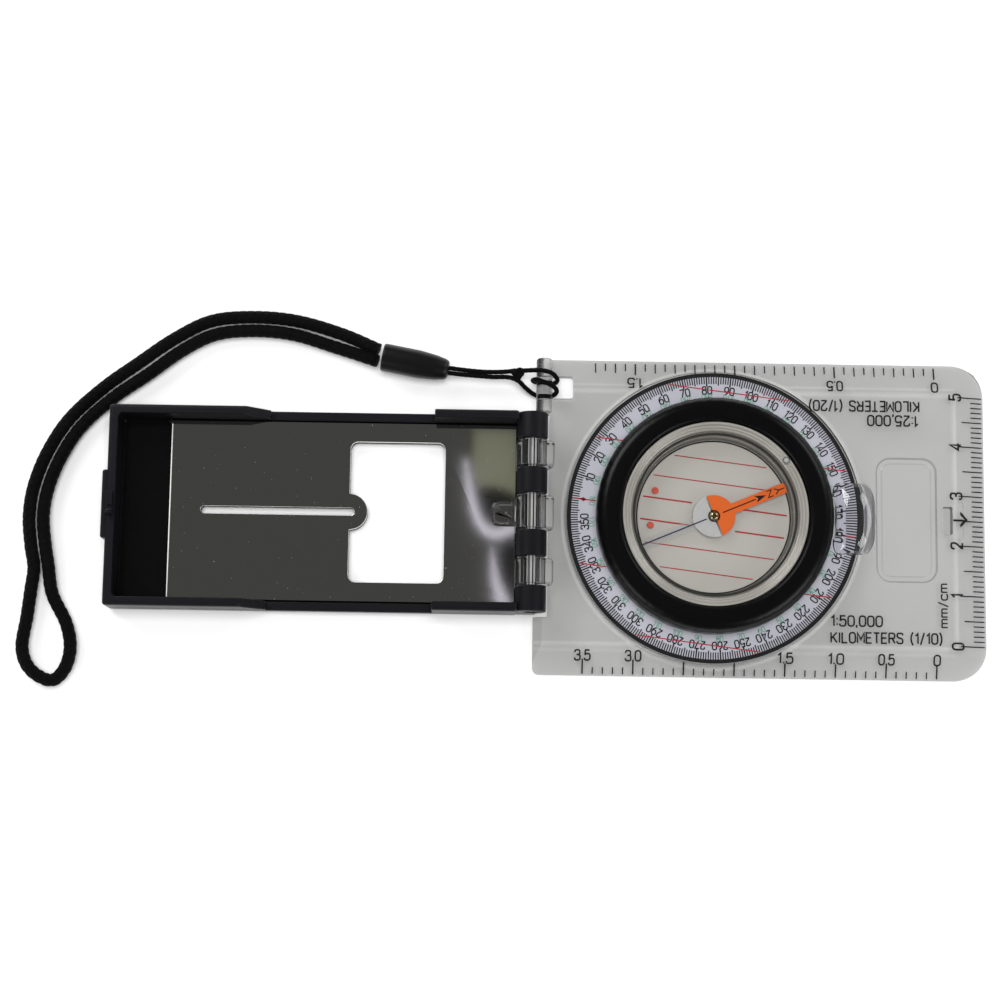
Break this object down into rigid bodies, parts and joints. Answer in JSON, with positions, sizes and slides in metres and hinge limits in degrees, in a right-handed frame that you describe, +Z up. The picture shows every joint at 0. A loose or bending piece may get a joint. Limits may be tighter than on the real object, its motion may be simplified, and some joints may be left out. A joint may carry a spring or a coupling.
{
  "type": "mirror sighting compass",
  "caption": "Clear base-plate compass with a rotating degree dial, a liquid-damped needle, a hinged mirror cover with a sighting window, and a cord wrist lanyard.",
  "frame": {"origin": "under the middle of the opened compass's bounding box, lanyard left out, on the surface it lies on", "axes": "+X from the mirror cover to the base plate's front edge, +Y towards the lanyard side, +Z up out of the dial"},
  "size_m": [0.1919, 0.0764, 0.0109],
  "materials": {
    "clear_acrylic": "polished clear",
    "black_plastic": "fine satin moulding",
    "bezel_black": "satin",
    "mirror_face": "polished",
    "foam_tape": "matt",
    "steel": "polished",
    "magnet_steel": "dull",
    "dial_white": "printed satin",
    "disc_white": "printed satin",
    "gasket_rubber": "matt",
    "needle_orange": "satin",
    "needle_white": "satin",
    "brass_cap": "polished",
    "luminous_paint": "matt",
    "plug_grey": "satin",
    "black_cord": "braided",
    "sleeve_rubber": "satin"
  },
  "bodies": {
    "base": {"base_plate": "clear_acrylic", "dial_magnifier": "clear_acrylic", "hinge_pin": "steel", "cord_sleeve": "sleeve_rubber", "wrist_cord": "black_cord", "tether_cord": "black_cord", "tether_loop": "black_cord", "tether_knot": "black_cord"},
    "cover": {"cover_tray": "black_plastic", "mirror": "mirror_face", "mirror_tape": "foam_tape", "hinge_friction_tongue": "clear_acrylic"},
    "dial": {"dial_ring": "dial_white", "bezel_grip": "bezel_black", "capsule_cup": "clear_acrylic", "capsule_lens": "clear_acrylic", "capsule_gasket": "gasket_rubber", "orienting_disc": "disc_white", "dial_retainer": "disc_white", "fill_plug": "plug_grey", "luminous_dot_1": "luminous_paint", "luminous_dot_2": "luminous_paint", "pivot_post": "steel"},
    "needle": {"needle_north_arm": "needle_orange", "needle_south_arm": "needle_white", "needle_magnet": "magnet_steel", "jewel_cap": "brass_cap"}
  },
  "joints": [
    {"name": "cover_hinge", "type": "hinge", "parent": "base", "child": "cover", "pos_m": [-0.00295, 0, 0.006], "axis": [0, 1, 0], "range_deg": [0, 180]},
    {"name": "dial_turn", "type": "hinge", "parent": "base", "child": "dial", "pos_m": [0.03325, 0, 0], "axis": [0, 0, 1], "continuous": true},
    {"name": "needle_turn", "type": "hinge", "parent": "dial", "child": "needle", "pos_m": [0.03325, 0, 0.0042], "axis": [0, 0, 1], "continuous": true}
  ]
}
